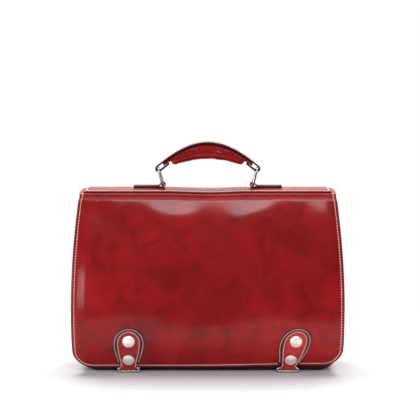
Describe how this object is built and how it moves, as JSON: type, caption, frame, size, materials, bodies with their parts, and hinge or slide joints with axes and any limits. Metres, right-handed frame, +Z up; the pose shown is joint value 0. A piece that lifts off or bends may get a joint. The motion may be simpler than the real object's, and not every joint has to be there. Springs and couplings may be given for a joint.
{
  "type": "flap-over leather satchel",
  "caption": "Leather satchel whose front flap folds over the top and closes with press-snap tabs, carried by a padded top handle on metal rings.",
  "frame": {"origin": "on the floor, under the middle of the bag", "axes": "+X along the bag's width, -Y out of the front flap, +Z up"},
  "size_m": [0.4, 0.129, 0.3378],
  "materials": {
    "red_leather": "glossy tumbled deep red leather",
    "tab_leather": "smooth brighter red leather with painted edges",
    "edge_leather": "smooth very dark red leather",
    "suede_lining": "light brown suede",
    "stiff_board": "pressed fibre board",
    "grip_core": "twisted cotton rope",
    "nickel": "polished nickel"
  },
  "bodies": {
    "body": {"front_panel": "red_leather", "back_panel": "red_leather", "gusset_left": "red_leather", "gusset_right": "red_leather", "gusset_base": "red_leather", "base_board": "stiff_board", "lining": "suede_lining", "facing_front": "tab_leather", "facing_back": "tab_leather", "divider": "suede_lining", "inner_pocket": "suede_lining", "flap_back": "red_leather", "snap_stud_left": "nickel", "snap_stud_right": "nickel", "snap_post_left": "nickel", "snap_post_right": "nickel"},
    "flap_top": {"flap_top": "red_leather", "top_strip": "red_leather", "top_board": "stiff_board", "top_lining": "suede_lining", "handle_mount_left": "tab_leather", "handle_mount_right": "tab_leather"},
    "flap_front": {"flap_front": "red_leather", "flap_lining": "suede_lining", "closure_patch_left": "edge_leather", "closure_patch_right": "edge_leather", "closure_tab_left": "tab_leather", "closure_tab_right": "tab_leather", "snap_cap_left": "nickel", "snap_cap_right": "nickel", "snap_socket_left": "nickel", "snap_socket_right": "nickel", "tab_rivet_left": "nickel", "tab_rivet_right": "nickel", "tab_burr_left": "nickel", "tab_burr_right": "nickel"},
    "handle_ring_left": {"handle_ring_left": "nickel"},
    "handle": {"handle_strap": "tab_leather", "handle_grip": "red_leather", "handle_core": "grip_core"},
    "handle_ring_right": {"handle_ring_right": "nickel"},
    "closure_ring_left": {"closure_ring_left": "nickel"},
    "closure_ring_right": {"closure_ring_right": "nickel"}
  },
  "joints": [
    {"name": "flap_hinge", "type": "hinge", "parent": "body", "child": "flap_top", "pos_m": [0, 0.05316, 0.2641], "axis": [-1, 0, 0], "range_deg": [0, 165]},
    {"name": "flap_fold", "type": "hinge", "parent": "flap_top", "child": "flap_front", "pos_m": [0, -0.03862, 0.2641], "axis": [-1, 0, 0], "range_deg": [0, 95]},
    {"name": "handle_swing", "type": "hinge", "parent": "flap_top", "child": "handle_ring_left", "pos_m": [-0.067, 0.00727, 0.2737], "axis": [0, 1, 0], "range_deg": [-12, 12]},
    {"name": "handle_on_ring", "type": "hinge", "parent": "handle_ring_left", "child": "handle", "pos_m": [-0.07313, 0.00727, 0.29794], "axis": [0, 1, 0], "range_deg": [-11.5, 11.5]},
    {"name": "right_ring_swing", "type": "hinge", "parent": "flap_top", "child": "handle_ring_right", "pos_m": [0.067, 0.00727, 0.2737], "axis": [0, 1, 0], "range_deg": [-12.5, 12.5]},
    {"name": "closure_ring_left_swing", "type": "hinge", "parent": "flap_front", "child": "closure_ring_left", "pos_m": [-0.11646, -0.04468, 0.00699], "axis": [-1, 0, 0], "range_deg": [-15, 70]},
    {"name": "closure_ring_right_swing", "type": "hinge", "parent": "flap_front", "child": "closure_ring_right", "pos_m": [0.11803, -0.04468, 0.00699], "axis": [-1, 0, 0], "range_deg": [-15, 70]}
  ],
  "couplings": [
    {"joint": "handle_on_ring", "follows": "handle_swing", "ratio": -0.916},
    {"joint": "right_ring_swing", "follows": "handle_swing", "ratio": 1}
  ]
}
